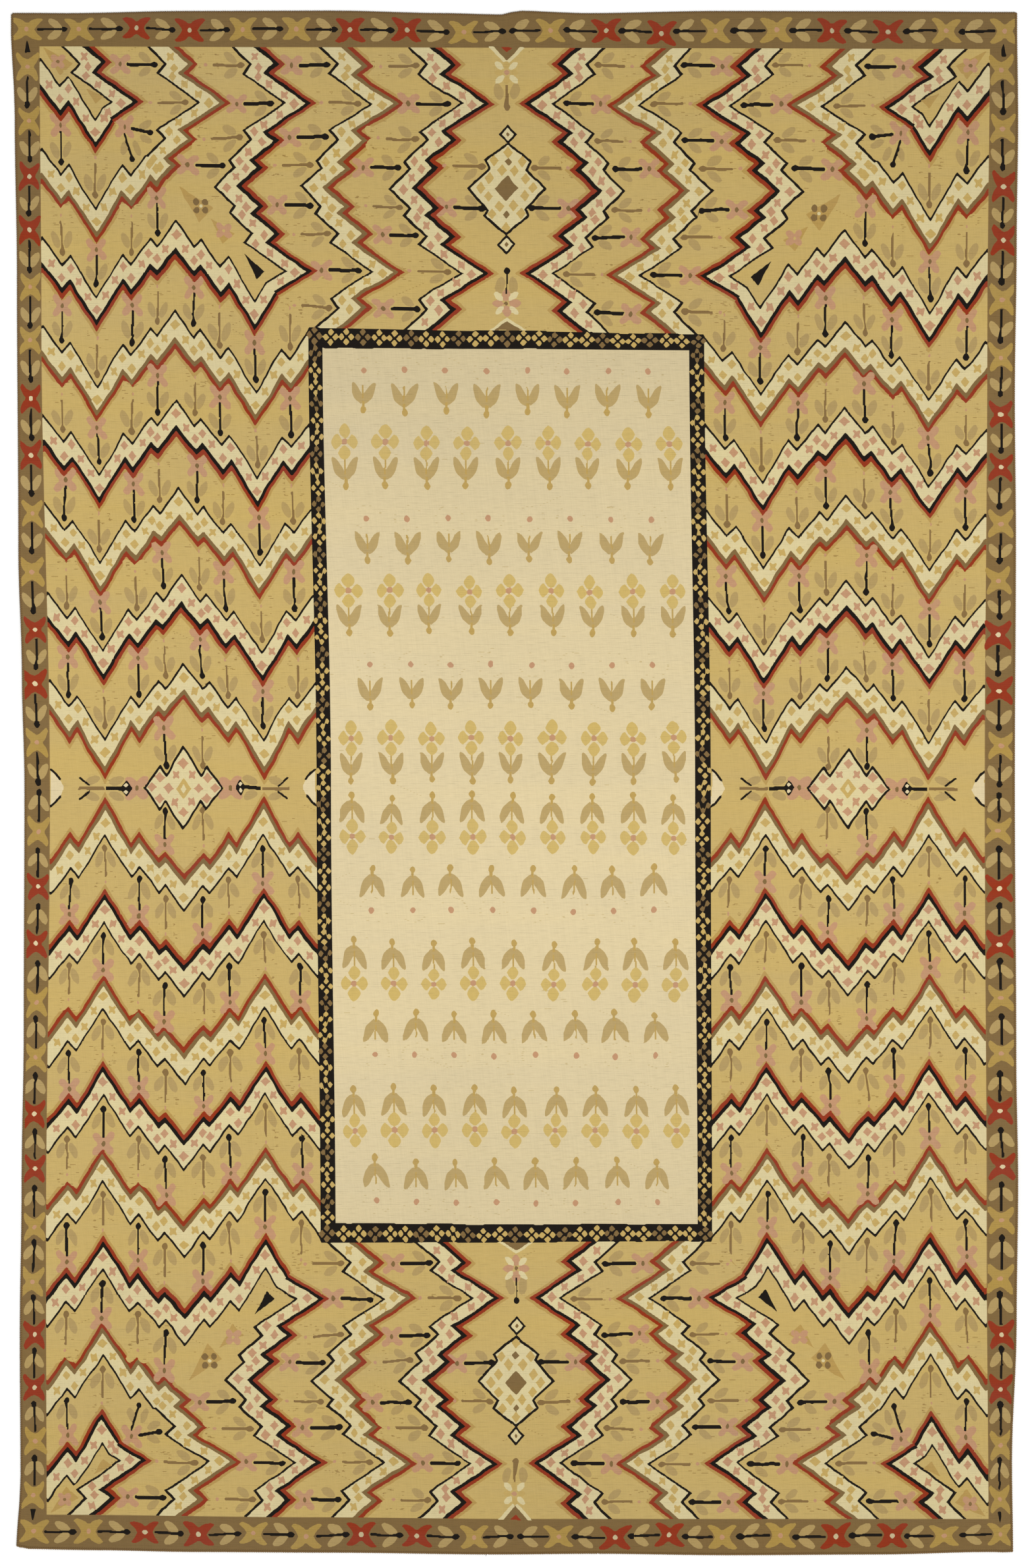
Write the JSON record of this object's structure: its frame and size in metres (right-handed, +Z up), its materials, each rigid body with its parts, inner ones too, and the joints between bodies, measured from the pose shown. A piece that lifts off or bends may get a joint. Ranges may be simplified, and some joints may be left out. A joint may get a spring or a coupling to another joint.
{
  "type": "aubusson rug",
  "caption": "Large flat-woven wool tapestry rug with zigzag bands, small flowers and a framed centre panel, lying flat on the floor.",
  "frame": {"origin": "on the floor, under the middle of the rug's outline", "axes": "+Z up out of the rug's face, +Y along its length towards the end that is at the top of the picture, +X to the right across its width"},
  "size_m": [2.7878, 4.279, 0.003],
  "materials": {
    "wool": "matt weft-faced tapestry weave in several dyed wools"
  },
  "bodies": {
    "root": {"rug": "wool"}
  },
  "joints": []
}
